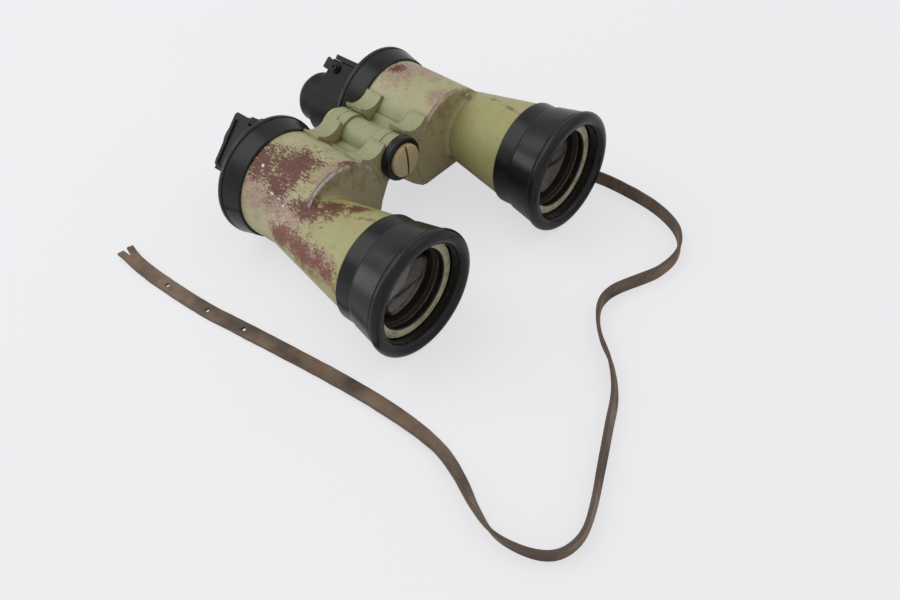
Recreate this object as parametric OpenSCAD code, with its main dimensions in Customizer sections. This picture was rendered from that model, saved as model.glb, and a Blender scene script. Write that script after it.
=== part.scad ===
// Marine binoculars with rubber guards, lying on a flat surface.
// Left is -X, right is +X, the objectives look along -Y, +Z is up.
// Distances named ..._s are measured back along Y from the front of the objective lips.

/* [Overall] */
// Distance between the two objective axes
objective_spacing = 135.4; // [130:0.2:140]
// Distance between the centres of the two prism housings
housing_spacing = 100; // [97:0.5:102]
// Distance between the two eyepiece axes at rest
eye_spacing = 69; // [66:0.5:72]
// Drop of the eyepiece axes below the objective axes
eye_drop = 3.4; // [2:0.1:4.5]
// Height of the hinge axis above the objective axes
hinge_rise = 16.1; // [15:0.1:18]

/* [Objective end] */
// Outer diameter of the rolled rubber lip
lip_d = 79; // [77:0.5:80]
// Radius of the rolled edge of the lip
lip_roll = 4.1; // [3:0.1:5]
// Diameter of the opening in the rubber lip
opening_d = 61.2; // [58:0.2:62]
// Length of the rubber objective cover
cover_len = 37; // [34:0.5:45]
// Diameter of the cover behind its lip
cover_front_d = 76.4; // [75:0.2:77]
// Diameter of the cover where its narrower rear band begins
cover_step_d = 69.8; // [69:0.2:71]
// Length of the rear band
cover_band_len = 12; // [9:0.5:14]
// Diameter of the rear band
cover_band_d = 67.4; // [66.4:0.2:68]
// Depth of the painted bezel behind the lip
bezel_s = 9.5; // [8:0.5:11]
// Outer diameter of the bezel
bezel_d = 61.6; // [58:0.2:62.4]
// Clear diameter inside the bezel
bezel_clear_d = 50; // [46:0.5:51]
// Thickness of the bezel flange
bezel_t = 2.5; // [2:0.1:3]
// Outer diameter of the objective tube
tube_d = 63; // [62.6:0.1:63.6]
// Bore of the objective tube
tube_bore_d = 56.6; // [55:0.1:58]
// Diameter of the objective lenses
lens_d = 52.2; // [51:0.1:53]

/* [Objective cone] */
// Diameter of the cone where the rubber cover ends
cone_front_d = 64.4; // [64:0.1:66]
// Diameter of the cone where it has sunk into the housing
cone_rear_d = 34; // [30:0.5:38]
// Distance of the cone's small end from the front
cone_rear_s = 123; // [118:0.5:126]
// Radius of the fillet between cone and housing face
flare_r = 4.5; // [3:0.5:6]
// Wall of the cone
cone_wall = 3; // [2:0.1:4]

/* [Prism housing] */
// Diameter of the housing at its front edge
housing_front_d = 68.6; // [67:0.2:70]
// Diameter of the housing at its rear face
housing_rear_d = 70.6; // [70:0.2:71]
// Distance of the housing's front face from the front
housing_front_s = 83.3; // [81:0.1:85]
// Distance of the housing's rear face from the front
housing_rear_s = 147; // [145:0.5:150]
// Rounding of the front edge
housing_round = 2; // [1:0.1:2.5]
// Diameter of the prism chamber behind the shelf
chamber_d = 62; // [61:0.2:63]
// Thickness of the front wall
front_wall = 3; // [2:0.1:4]
// Thickness of the rear cover
rear_cover_t = 3.5; // [3:0.1:5]
// Diameter of the rear cover
rear_cover_d = 72.6; // [72:0.2:73.4]
// Radius of the sweep under the housing's front
belly_r = 25; // [20:1:27]
// Number of rear cover screws
cover_screws = 5; // [3:1:5]
// Diameter of the small round plug in the front face
plug_d = 4.2; // [3:0.1:6]

/* [Rubber ring] */
// Thickness of the rubber ring round the rear cover
ring_wall = 3.6; // [3.2:0.1:4]
// Thickness of the ring's front edge round the housing
ring_front_wall = 1.4; // [1.2:0.1:2]
// Length of the ring
ring_len = 16.8; // [14:0.2:18]
// How far the ring stands behind the rear cover
ring_overhang = 2.8; // [1:0.2:4]
// Length of the thin rear flange
ring_flange_len = 3.6; // [2:0.1:4]
// Depth of the step in front of the flange
ring_step = 0.9; // [0.5:0.1:1.5]

/* [Hinge] */
// Diameter of the pin
pin_d = 10; // [8:0.5:12]
// Diameter of the end knuckles and of the barrel's collars
knuckle_d = 26; // [24:0.5:27]
// Diameter of the middle barrel
barrel_d = 23; // [20:0.5:23.5]
// Length of the collar at each end of the barrel
collar_len = 6.9; // [5:0.1:8]
// Distance of the front knuckle's face from the front
knuckle_front_s = 84.5; // [84:0.1:86]
// Length of each end knuckle
knuckle_len = 7.2; // [6:0.1:8]
// Distance of the rear knuckle's face from the front
knuckle_rear_s = 137.2; // [136:0.1:138]
// Height of the lug edges above the hinge axis
lug_rise = 13.9; // [13:0.1:15]
// Length of each lug along the hinge
lug_len = 13.4; // [12:0.2:15]
// Distance of the lugs' inner edges from the middle
lug_inner_x = 8.5; // [8:0.1:10]
// Distance of the lugs' outer edges from the middle
lug_outer_x = 28; // [26:0.5:30]
// Depth of the hollow in the top of each lug
lug_dip = 4; // [2:0.1:5]
// Diameter of the slotted front cap
hinge_cap_d = 21.6; // [20:0.2:23]
// Length of the slotted front cap
hinge_cap_len = 7.9; // [7:0.1:8.6]
// Length of the black ring round it
hinge_ring_len = 5.6; // [5:0.1:6.5]
// Width of the slot in the cap
slot_w = 1.4; // [1:0.1:2.4]
// Diameter of the black ring round the cap
hinge_ring_d = 28.8; // [28:0.2:30]
// Diameter of the rear cap
rear_cap_d = 22; // [20:0.5:23]
// Gap between parts that turn past each other
turn_gap = 0.4; // [0.3:0.05:0.6]
// Radial clearance of a running fit
run_fit = 0.05; // [0.02:0.01:0.1]

/* [Eyepiece] */
// Diameter of the eyepiece body
eye_body_d = 44; // [43:0.2:45]
// Distance of the eyepiece body's rear edge from the front
eye_body_s = 183.2; // [182:0.2:184]
// Diameter of the eyecup
eyecup_d = 35.2; // [34.4:0.2:36]
// Length of the eyecup
eyecup_len = 17.1; // [15.6:0.1:18.4]
// Opening of the eyecup
eyecup_open_d = 24; // [22:0.5:25]
// Outer diameter of the sliding lens tube
eye_tube_d = 27.6; // [26.8:0.1:27.8]
// Length of the sliding lens tube
eye_tube_len = 37; // [36:0.5:38]
// Diameter of the field lens
field_lens_d = 24; // [22:0.1:24.4]
// Diameter of the eye lens
eye_lens_d = 21; // [19.5:0.1:21.4]
// Travel of the lens tube each way
focus_travel = 3.6; // [3:0.1:3.8]

/* [Side flap] */
// Width of the flap
flap_w = 37.8; // [36:0.2:38]
// Length of the flap
flap_len = 27; // [24:0.5:27.5]
// Thickness of the flap
flap_t = 3.4; // [3:0.1:4]
// Distance of the flap's inner face from the eyepiece axis
flap_n = 28.2; // [28:0.1:29]
// Angle of the flap's middle above the horizontal
flap_angle = 45.2; // [40:0.1:50]
// Thickness of the side arm
arm_t = 1.6; // [1.4:0.1:2]
// Diameter of the flap's hinge rod
rod_d = 1.6; // [1.4:0.1:1.8]
// Diameter of the side arm's screw head
hub_d = 5; // [4.4:0.1:5.6]

/* [Strap] */
// Width of the strap
strap_w = 10; // [8:0.5:10.5]
// Thickness of the strap
strap_t = 2.4; // [2:0.1:2.6]
// Width of the bars of the strap lug
lug_bar = 3.4; // [3:0.1:4]
// Thickness of the strap lug
lug_t = 3.5; // [3:0.1:4]

/* [Hidden] */
SIDES = ["left", "right"];
PARTS = ["body", "housing_ring", "objective_cover", "bezel", "objective_cell", "cell_ring",
    "front_lens", "back_lens", "rear_cover", "cover_screws", "prism_shelf", "front_prism",
    "rear_prism", "prism_clips", "eyepiece_body", "eyecup", "eye_tube", "field_lens", "eye_lens",
    "flap", "flap_rod", "side_arm", "arm_screw"];
SHARED = ["sealing_plug", "hinge_pin", "hinge_cap", "hinge_ring", "rear_hinge_cap",
    "strap_lug", "strap_loop", "strap_rivet", "strap"];

fine = 96;
round_fn = 32;
eps = 0.01;
seat = 0.05;
eye_bevel = 1.4;
eye_shoulder_s = eye_body_s + eye_bevel;
eyecup_s = eye_shoulder_s + 0.3;
total_len = eyecup_s + eyecup_len;
y_front = -total_len / 2;
objective_x = objective_spacing / 2;
objective_z = lip_d / 2;
housing_x = housing_spacing / 2;
ring_r = rear_cover_d / 2 + ring_wall;
housing_z = ring_r;
eye_x = eye_spacing / 2;
eye_z = objective_z - eye_drop;
hinge_z = objective_z + hinge_rise;
pin_r = pin_d / 2;
knuckle_r = knuckle_d / 2;
barrel_r = barrel_d / 2;
front_knuckle_end_s = knuckle_front_s + knuckle_len;
rear_knuckle_start_s = knuckle_rear_s - knuckle_len;
barrel_front_s = front_knuckle_end_s + turn_gap;
barrel_rear_s = rear_knuckle_start_s - turn_gap;
front_collar_end_s = barrel_front_s + collar_len;
rear_collar_start_s = barrel_rear_s - collar_len;
lug_top_z = hinge_z + lug_rise;

// Colours
paint = "#a6a37c";
bezel_paint = "#a59e87";
rubber = "#2c3233";
black = "#1d1f20";
brass = "#8a7d5c";
steel = "#9a9a96";
glass = "#8fa3a8";
leather = "#5c4636";

// Helpers

// Points of an arc round c from angle a0 to a1.
function arc(c, r, a0, a1, n = 8) =
    [for (i = [0:n]) let (a = a0 + (a1 - a0) * i / n) [c[0] + r * cos(a), c[1] + r * sin(a)]];

// How far a sphere of a given radius falls back at a distance from its middle.
function sag(radius, at) = radius - sqrt(radius * radius - at * at);

// Profile of a curved lens face from the middle out, and the same points backwards.
function bowl(radius, edge, s, way, n = 10) =
    [for (i = [0:n]) let (r = edge * i / n) [r, s + way * sag(radius, r)]];
function flipped(points) = [for (i = [len(points) - 1:-1:0]) points[i]];

// Straight line value between two points at a given place.
function between(a, va, b, vb, at) = va + (vb - va) * (at - a) / (b - a);

module on_side(side) {
    if (side == "right") children();
    else mirror([1, 0, 0]) children();
}

// Turns a profile of [radius, distance from the front] round an axis along Y.
module turned(x, z, profile) {
    translate([x, y_front, z]) rotate([-90, 0, 0]) rotate_extrude($fn = fine) polygon(profile);
}

module along_y(x, z, r, s0, s1) {
    translate([x, y_front + s0, z]) rotate([-90, 0, 0]) cylinder(h = s1 - s0, r = r, $fn = fine);
}

// Extrudes an outline of [x, z] points from s0 to s1.
module slab(s0, s1) {
    translate([0, y_front + s1, 0]) rotate([90, 0, 0]) linear_extrude(s1 - s0) children();
}

// The body: housing, cone and hinge parts

tube_r = tube_d / 2;
tube_front_s = bezel_s + bezel_t;
cone_front_r = cone_front_d / 2;
cone_rear_r = cone_rear_d / 2;
housing_front_r = housing_front_d / 2;
housing_rear_r = housing_rear_d / 2;
chamber_r = chamber_d / 2;
chamber_front_r = chamber_r - 1;
chamber_front_s = housing_front_s + front_wall;
shelf_t = 3;
shelf_s = 116;

function cone_r(s) = between(cover_len, cone_front_r, cone_rear_s, cone_rear_r, s);

housing_profile = concat(
    [[0, housing_rear_s], [0, housing_front_s]],
    arc([housing_front_r - housing_round, housing_front_s + housing_round], housing_round, -90, 0, 6),
    [[housing_rear_r, housing_rear_s]]);

cone_profile = [[0, tube_front_s], [tube_r, tube_front_s], [tube_r, cover_len],
    [cone_front_r, cover_len], [cone_rear_r, cone_rear_s], [0, cone_rear_s]];

cone_bore_profile = [[0, tube_front_s - eps], [tube_bore_d / 2, tube_front_s - eps],
    [tube_bore_d / 2, cover_len - cone_wall], [cone_r(chamber_front_s) - cone_wall, chamber_front_s + eps],
    [0, chamber_front_s + eps]];

chamber_profile = [[0, chamber_front_s], [chamber_front_r, chamber_front_s], [chamber_front_r, shelf_s],
    [chamber_r, shelf_s], [chamber_r, housing_rear_s + eps], [0, housing_rear_s + eps]];

// The flare sits inside the cone at its front, so that the two surfaces cross.
flare_start_s = housing_front_s - flare_r;
flare_in = 1;
flare_profile = concat(
    [[0, flare_start_s], [cone_r(flare_start_s) - flare_in, flare_start_s]],
    arc([cone_r(flare_start_s) + flare_r - flare_in, flare_start_s], flare_r, 180, 96, 8),
    [[cone_r(flare_start_s) + flare_r + 0.6, housing_front_s + 0.3],
    [cone_r(flare_start_s) + flare_r + 0.6, chamber_front_s], [0, chamber_front_s]]);
flare_inset = 0.6;

// The sweep under the housing's front: everything outside a cylinder that lies across.
belly_z = housing_z - housing_front_r + belly_r - 0.3;
belly_s = housing_front_s + belly_r - 0.3;
module belly(r) {
    difference() {
        translate([0, y_front + housing_front_s - 5, -5])
            cube([2 * housing_x, belly_s - housing_front_s + 5, belly_z + 5]);
        translate([-1, y_front + belly_s, belly_z]) rotate([0, 90, 0])
            cylinder(h = 2 * housing_x + 2, r = r, $fn = fine);
    }
}

// Outline of a lug in [x, z], with its hollow top.
lug_mid_x = (lug_inner_x + lug_outer_x) / 2;
lug_land = 0.8;
lug_half = (lug_outer_x - lug_inner_x) / 2 - lug_land;
lug_hollow_r = (lug_half * lug_half + lug_dip * lug_dip) / (2 * lug_dip);
foot_z = housing_z - 20.4;
RIGHT_FOOT = [[30, foot_z + 4], [27.5, foot_z], [20, foot_z + 0.5], [12, foot_z + 7], [1.5, hinge_z - 18],
    [5, hinge_z - barrel_r + 1]];
LEFT_FOOT = [[30, foot_z + 6], [22, foot_z + 2.5], [10.2, hinge_z - 13.5], [5, hinge_z - barrel_r + 1]];
function foot(side) = side == "right" ? RIGHT_FOOT : LEFT_FOOT;

module lug_outline(side) {
    difference() {
        polygon(concat([[lug_inner_x, hinge_z], [lug_inner_x, lug_top_z], [lug_outer_x, lug_top_z],
            [housing_x, housing_z]], foot(side)));
        translate([lug_mid_x, lug_top_z - lug_dip + lug_hollow_r]) circle(r = lug_hollow_r, $fn = fine);
    }
}

// Outline of the lower web between the lugs, with its valley beside the barrel.
valley_z = hinge_z + 2.5;
module web_outline(side) {
    polygon(concat([[5, valley_z], [16, valley_z - 0.5], [20.5, valley_z + 3], [housing_x, housing_z]],
        foot(side)));
}

front_lug_end_s = knuckle_front_s + lug_len;
lug_rear_end_s = housing_rear_s + rear_cover_t + ring_overhang - ring_len - 0.3;
rear_lug_start_s = lug_rear_end_s - lug_len;
ring_s = lug_rear_end_s + 0.3;

module shell_solid(side) {
    difference() {
        union() {
            turned(housing_x, housing_z, housing_profile);
            intersection() {
                turned(objective_x, objective_z, flare_profile);
                along_y(housing_x, housing_z, housing_front_r - flare_inset,
                    flare_start_s - 1, chamber_front_s);
            }
        }
        belly(belly_r);
    }
    turned(objective_x, objective_z, cone_profile);
    slab(knuckle_front_s, front_lug_end_s) lug_outline(side);
    slab(rear_lug_start_s, lug_rear_end_s) lug_outline(side);
    slab(front_lug_end_s - eps, rear_lug_start_s + eps) web_outline(side);
}

module shell_hollows(side) {
    turned(objective_x, objective_z, cone_bore_profile);
    difference() {
        turned(housing_x, housing_z, chamber_profile);
        belly(belly_r - front_wall);
    }
    if (side == "right") along_y(plug_x, plug_z, plug_d / 2, plug_front_s - 2, chamber_front_s + 1);
    cover_screw_places() along_y(0, 0, screw_d / 2, housing_rear_s - screw_depth, housing_rear_s + 1);
}

plug_x = 65.5;
plug_front_s = housing_front_s - 1.3;
plug_z = 65;
screw_d = 2;
screw_depth = 5;
screw_circle_r = 33.1;
screw_spread = 55;

module cover_screw_places() {
    for (i = [0:cover_screws - 1]) {
        a = (i - (cover_screws - 1) / 2) * screw_spread;
        translate([housing_x + screw_circle_r * cos(a), 0, housing_z + screw_circle_r * sin(a)]) children();
    }
}

// The right half has the two end knuckles, the left half the barrel between them.
module right_body_solid() {
    difference() {
        union() {
            shell_solid("right");
            along_y(0, hinge_z, knuckle_r, knuckle_front_s, front_knuckle_end_s);
            along_y(0, hinge_z, knuckle_r, rear_knuckle_start_s, knuckle_rear_s);
        }
        shell_hollows("right");
        along_y(0, hinge_z, knuckle_r + turn_gap, front_knuckle_end_s, front_collar_end_s + turn_gap);
        along_y(0, hinge_z, barrel_r + turn_gap, front_knuckle_end_s, rear_knuckle_start_s);
        along_y(0, hinge_z, knuckle_r + turn_gap, rear_collar_start_s - turn_gap, rear_knuckle_start_s);
        along_y(0, hinge_z, pin_r, knuckle_front_s - 1, knuckle_rear_s + 1);
    }
}

module left_body_solid() {
    difference() {
        union() {
            shell_solid("left");
            along_y(0, hinge_z, barrel_r, barrel_front_s, barrel_rear_s);
            along_y(0, hinge_z, knuckle_r, barrel_front_s, front_collar_end_s);
            along_y(0, hinge_z, knuckle_r, rear_collar_start_s, barrel_rear_s);
        }
        shell_hollows("left");
        along_y(0, hinge_z, knuckle_r + turn_gap, knuckle_front_s - 2, barrel_front_s);
        along_y(0, hinge_z, knuckle_r + turn_gap, barrel_rear_s, knuckle_rear_s + 2);
        along_y(0, hinge_z, pin_r + run_fit, knuckle_front_s - 2, knuckle_rear_s + 2);
    }
}

module body(side) {
    color(paint) {
        if (side == "right") right_body_solid();
        else left_body_solid();
    }
}

// Rubber ring, rear cover and screws

cover_s = housing_rear_s;
cover_rear_s = cover_s + rear_cover_t;
ring_rear_s = ring_s + ring_len;
ring_lip_r = rear_cover_d / 2 - 0.6;
ring_front_r = housing_rear_d / 2 + ring_front_wall;
ring_flange_s = ring_rear_s - ring_flange_len;

module housing_ring() {
    color(rubber) turned(housing_x, housing_z, concat(
        [[between(housing_front_s, housing_front_r, housing_rear_s, housing_rear_r, ring_s) + seat, ring_s],
        [ring_front_r - 0.6, ring_s], [ring_front_r, ring_s + 0.6],
        [ring_r - 0.6, ring_flange_s - 1.2], [ring_r - ring_step, ring_flange_s - 0.8],
        [ring_r - ring_step, ring_flange_s]],
        arc([ring_r - 0.8, ring_flange_s + 0.8], 0.8, -90, 0, 4),
        arc([ring_r - 1.4, ring_rear_s - 1.4], 1.4, 0, 90, 5),
        [[ring_lip_r, ring_rear_s], [ring_lip_r, cover_rear_s + seat],
        [rear_cover_d / 2 + seat, cover_rear_s + seat], [rear_cover_d / 2 + seat, cover_s - 0.5],
        [housing_rear_r + seat, cover_s - 0.5]]));
}

cover_spigot_len = 1.8;
eye_neck_r = 18;

module rear_cover() {
    color(black) difference() {
        turned(housing_x, housing_z, [[0, cover_s - cover_spigot_len],
            [chamber_r - seat, cover_s - cover_spigot_len], [chamber_r - seat, cover_s],
            [rear_cover_d / 2, cover_s], [rear_cover_d / 2, cover_rear_s], [0, cover_rear_s]]);
        along_y(eye_x, eye_z, eye_neck_r, cover_s - cover_spigot_len - 1, cover_rear_s + 1);
        cover_screw_places() along_y(0, 0, screw_d / 2 + seat, cover_s - 3, cover_rear_s + 1);
        cover_screw_places()
            along_y(0, 0, screw_head_r + seat, cover_rear_s - screw_head_t, cover_rear_s + 1);
    }
}

screw_head_r = 2;
screw_head_t = 1.4;
screw_slot_w = 0.6;
screw_slot_t = 0.6;

module cover_screw_set() {
    color(steel) cover_screw_places() difference() {
        union() {
            along_y(0, 0, screw_d / 2 - seat, cover_s - screw_depth + 0.5,
                cover_rear_s - screw_head_t + eps);
            along_y(0, 0, screw_head_r, cover_rear_s - screw_head_t, cover_rear_s - 0.1);
        }
        translate([-screw_head_r - 1, y_front + cover_rear_s - screw_slot_t, -screw_slot_w / 2])
            cube([2 * screw_head_r + 2, screw_slot_t + 1, screw_slot_w]);
    }
}

module sealing_plug() {
    color(brass) difference() {
        along_y(plug_x, plug_z, plug_d / 2 - seat, plug_front_s, chamber_front_s);
        translate([plug_x - plug_d, y_front + plug_front_s - 1, plug_z - 0.35])
            cube([2 * plug_d, 1.7, 0.7]);
    }
}

// Objective end

lip_r = lip_d / 2;
opening_r = opening_d / 2;
lip_mid_r = (lip_r + opening_r) / 2;
lip_half = (lip_r - opening_r) / 2;
band_s = cover_len - cover_band_len;
band_r = cover_band_d / 2;
band_dip = 0.2;

module objective_cover() {
    color(rubber) turned(objective_x, objective_z, concat(
        [[tube_r + seat, cover_len], [tube_r + seat, bezel_s + bezel_t], [tube_r - 0.1, bezel_s + bezel_t],
        [tube_r - 0.1, bezel_s - 0.2], [opening_r + 0.4, lip_roll]],
        [for (p = arc([0, 0], 1, 190, 270, 7)) [lip_mid_r + p[0] * lip_half, lip_roll * (1 + p[1])]],
        [for (p = arc([0, 0], 1, 280, 380, 10)) [lip_mid_r + p[0] * lip_half, lip_roll * (1 + p[1])]],
        [[cover_front_d / 2 - 0.5, lip_roll + 2.4], [cover_front_d / 2, lip_roll + 3.2],
        [cover_step_d / 2, band_s - 0.8], [cover_step_d / 2 - 0.2, band_s - 0.3],
        [band_r - band_dip, band_s + 0.9], [band_r - band_dip, band_s + 2.6],
        [band_r, cover_len - 3.4], [band_r, cover_len - 0.8], [band_r - 0.6, cover_len]]));
}

bezel_spigot_s = tube_front_s + 3;
module bezel() {
    color(bezel_paint) turned(objective_x, objective_z, [
        [bezel_clear_d / 2, bezel_s + 0.6], [bezel_clear_d / 2 + 0.6, bezel_s],
        [bezel_d / 2 - 0.5, bezel_s],
        [bezel_d / 2, bezel_s + 0.5], [bezel_d / 2, tube_front_s], [tube_bore_d / 2 - seat, tube_front_s],
        [tube_bore_d / 2 - seat, bezel_spigot_s], [bezel_clear_d / 2 + 0.8, bezel_spigot_s],
        [bezel_clear_d / 2, bezel_spigot_s - 3]]);
}

cell_s = bezel_spigot_s + 0.2;
lens_r = lens_d / 2;
lens_s = cell_s + 3.3;
crown_t = 9;
crown_front_r = 95;
crown_back_r = 80;
flint_back_r = 250;
flint_end_s = lens_s + 13;
cell_lip_r = lens_r - 1.4;
cell_lip_s = flint_end_s - sag(flint_back_r, cell_lip_r) + seat;
cell_rear_s = cell_lip_s + 3;

module objective_cell() {
    color(black) turned(objective_x, objective_z, [
        [lens_r + seat, cell_s], [tube_bore_d / 2 - seat, cell_s], [tube_bore_d / 2 - seat, cell_rear_s],
        [cell_lip_r, cell_rear_s], [cell_lip_r, cell_lip_s], [lens_r + seat, cell_lip_s]]);
}

ring_inner_r = lens_r - 2.2;
module cell_ring() {
    color(black) turned(objective_x, objective_z, [
        [ring_inner_r + 1.2, cell_s + 0.3], [lens_r, cell_s + 0.3],
        [lens_r, lens_s + sag(crown_front_r, lens_r) - seat],
        [ring_inner_r, lens_s + sag(crown_front_r, ring_inner_r) - seat * 2],
        [ring_inner_r, cell_s + 1.6], [ring_inner_r + 1.2, cell_s + 1.6]]);
}

module front_lens() {
    color(glass) turned(objective_x, objective_z, concat(
        bowl(crown_front_r, lens_r, lens_s, 1), flipped(bowl(crown_back_r, lens_r, lens_s + crown_t, -1))));
}

module back_lens() {
    color(glass) turned(objective_x, objective_z, concat(
        bowl(crown_back_r, lens_r, lens_s + crown_t + seat, -1),
        flipped(bowl(flint_back_r, lens_r, flint_end_s, -1))));
}

// Prisms: the light steps from the objective axis to the turning point and on to the eyepiece axis.

turn_x = (objective_x + eye_x) / 2 + (objective_z - eye_z) / 2;
turn_z = (objective_z + eye_z) / 2 - (objective_x - eye_x) / 2;
prism_w = 21;
prism_gap = 0.3;
prism_trim_r = chamber_r - 0.8;
window_r = 10.3;

module prism_shelf() {
    color(brass) difference() {
        along_y(housing_x, housing_z, chamber_r - seat, shelf_s, shelf_s + shelf_t);
        along_y(objective_x, objective_z, window_r, shelf_s - 1, shelf_s + shelf_t + 1);
        along_y(turn_x, turn_z, window_r, shelf_s - 1, shelf_s + shelf_t + 1);
        along_y(eye_x, eye_z, window_r, shelf_s - 1, shelf_s + shelf_t + 1);
    }
}

// Places an outline of [distance along a-b, depth] so that it spans from a to b.
module across(ax, az, bx, bz, s, width) {
    translate([(ax + bx) / 2, y_front + s, (az + bz) / 2])
        rotate([0, -atan2(bz - az, bx - ax), 0])
            linear_extrude(width, center = true) children();
}

module porro_outline(reach, dir) {
    polygon([[-reach, 0], [reach, 0], [0, dir * reach]]);
}

module porro(ax, az, bx, bz, s, dir, trim_r) {
    reach = norm([bx - ax, bz - az]);
    intersection() {
        across(ax, az, bx, bz, s, prism_w) porro_outline(reach, dir);
        along_y(housing_x, housing_z, trim_r, chamber_front_s, housing_rear_s);
    }
}

front_prism_s = shelf_s - prism_gap;
rear_prism_s = shelf_s + shelf_t + prism_gap;

module front_prism() {
    color(glass) porro(turn_x, turn_z, eye_x, eye_z, front_prism_s, -1, chamber_front_r - 0.8);
}

module rear_prism() {
    color(glass) porro(objective_x, objective_z, turn_x, turn_z, rear_prism_s, 1, prism_trim_r);
}

clip_w = 6;
clip_t = 0.7;
module clip(ax, az, bx, bz, s, dir, trim_r) {
    reach = norm([bx - ax, bz - az]);
    inner = reach + seat * 3;
    intersection() {
        across(ax, az, bx, bz, s, clip_w) difference() {
            porro_outline(inner + clip_t * sqrt(2), dir);
            porro_outline(inner, dir);
        }
        along_y(housing_x, housing_z, trim_r + 0.3, chamber_front_s, housing_rear_s);
    }
}

module prism_clips() {
    color(steel) {
        clip(turn_x, turn_z, eye_x, eye_z, front_prism_s, -1, chamber_front_r - 0.8);
        clip(objective_x, objective_z, turn_x, turn_z, rear_prism_s, 1, prism_trim_r);
    }
}

// Eyepiece

eye_body_r = eye_body_d / 2;
eye_body_front_s = ring_rear_s + 0.3;
eye_tube_r = eye_tube_d / 2;
eyecup_r = eyecup_d / 2;
cup_spigot_r = eyecup_r - 2.9;
cup_spigot_len = 4;

module eyepiece_body(side) {
    color(black) difference() {
        union() {
            turned(eye_x, eye_z, [[eye_tube_r + run_fit, cover_s + 0.2], [eye_neck_r - seat, cover_s + 0.2],
                [eye_neck_r - seat, eye_body_front_s], [eye_body_r, eye_body_front_s],
                [eye_body_r, eye_body_s], [eyecup_r + 0.2, eye_shoulder_s], [cup_spigot_r, eye_shoulder_s],
                [cup_spigot_r, eye_shoulder_s + cup_spigot_len],
                [eye_tube_r + run_fit, eye_shoulder_s + cup_spigot_len]]);
            at_flap(side) pad();
        }
        at_arm(side) translate([arm_n, arm_s, pad_side - arm_shank_len])
            cylinder(h = arm_shank_len + 1, r = arm_shank_r, $fn = fine);
        at_flap(side) flap_bar(rod_n, rod_u, rod_r, lug_knuckle_s - 1, lug_knuckle_s + lug_knuckle_len + 1);
        along_y(eye_x, eye_z, eye_tube_r + run_fit, cover_s, cup_end_s);
    }
}

// Middle of the rounding where the pad's leaning side meets its top.
function pad_edge_u(n) = (n * sin(pad_lean) - pad_side + pad_round) / cos(pad_lean);

// The raised pad under the flap, with the knuckle that holds the flap's rod.
module pad() {
    translate([0, pad_s + pad_len, 0]) rotate([90, 0, 0]) linear_extrude(pad_len) polygon(concat(
        [[0, 0], [12, hinge_pad_u], [pad_n - pad_round, hinge_pad_u], [pad_n, hinge_pad_u - pad_round]],
        arc([pad_n - pad_round, pad_edge_u(pad_n - pad_round)], pad_round, 0, pad_lean - 90, 5),
        [[pad_side * sin(pad_lean), -pad_side * cos(pad_lean)]]));
    flap_bar(rod_n, rod_u, flap_t / 2, lug_knuckle_s, lug_knuckle_s + lug_knuckle_len);
    translate([pad_n - 3, lug_knuckle_s, rod_u])
        cube([rod_n - pad_n + 4.6, lug_knuckle_len, flap_t / 2 + knob_rise]);
    translate([pad_n - 3, lug_knuckle_s, hinge_pad_u - 2])
        cube([2.6, lug_knuckle_len, rod_u - hinge_pad_u + 2 + eps]);
}

cup_round = 5;
cup_wall_r = eye_tube_r + 0.6;
cup_end_s = total_len;
cup_lip_t = 2.6;

module eyecup() {
    color(black) turned(eye_x, eye_z, concat(
        [[cup_spigot_r + run_fit, eyecup_s], [eyecup_r, eyecup_s]],
        arc([eyecup_r - cup_round, cup_end_s - cup_round - 1], cup_round, 0, 60, 8),
        [[eyecup_open_d / 2 + 2, cup_end_s], [eyecup_open_d / 2 + 0.6, cup_end_s - 0.3],
        [eyecup_open_d / 2, cup_end_s - 1], [eyecup_open_d / 2, cup_end_s - cup_lip_t],
        [cup_wall_r, cup_end_s - cup_lip_t], [cup_wall_r, eyecup_s + cup_spigot_len + 0.4],
        [cup_spigot_r + run_fit, eyecup_s + cup_spigot_len + 0.4]]));
}

eye_tube_rear_s = cup_end_s - cup_lip_t - focus_travel - 0.6;
eye_tube_front_s = eye_tube_rear_s - eye_tube_len;
field_lens_r = field_lens_d / 2;
eye_lens_r = eye_lens_d / 2;
eye_lens_s = eye_tube_rear_s - 11.5;
eye_lens_t = 7.5;
field_lens_s = eye_tube_front_s + 3;
field_lens_t = 6;
tube_step_s = eye_lens_s - 2;

module eye_tube() {
    color(black) turned(eye_x, eye_z, [
        [field_lens_r + seat, eye_tube_front_s], [eye_tube_r, eye_tube_front_s],
        [eye_tube_r, eye_tube_rear_s - 0.5], [eye_tube_r - 0.5, eye_tube_rear_s],
        [eye_lens_r - 0.6, eye_tube_rear_s], [eye_lens_r - 1.6, eye_lens_s + eye_lens_t + seat],
        [eye_lens_r + seat, eye_lens_s + eye_lens_t + seat], [eye_lens_r + seat, tube_step_s],
        [field_lens_r + seat, tube_step_s]]);
}

module simple_lens(x, z, r, s, t, bend) {
    turned(x, z, concat(bowl(bend, r, s, 1), flipped(bowl(bend, r, s + t, -1))));
}

module field_lens() {
    color(glass) simple_lens(eye_x, eye_z, field_lens_r, field_lens_s, field_lens_t, 45);
}

module eye_lens() {
    color(glass) simple_lens(eye_x, eye_z, eye_lens_r, eye_lens_s, eye_lens_t, 30);
}

// Side flap: in this frame X points out through the flap's middle, and Z along its width to its hinge.
// Both eyepieces carry the same piece, turned round and not mirrored.

module at_flap(side) {
    translate([eye_x, y_front, eye_z]) rotate([0, -flap_angle, 0])
        mirror([0, 0, side == "right" ? 1 : 0]) children();
}

// The frame of the pad's leaning side across from the hinge: X runs up the side, Z stands out of it.
module at_arm(side) {
    at_flap(side) mirror([0, 0, 1]) rotate([0, pad_lean, 0]) children();
}

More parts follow.
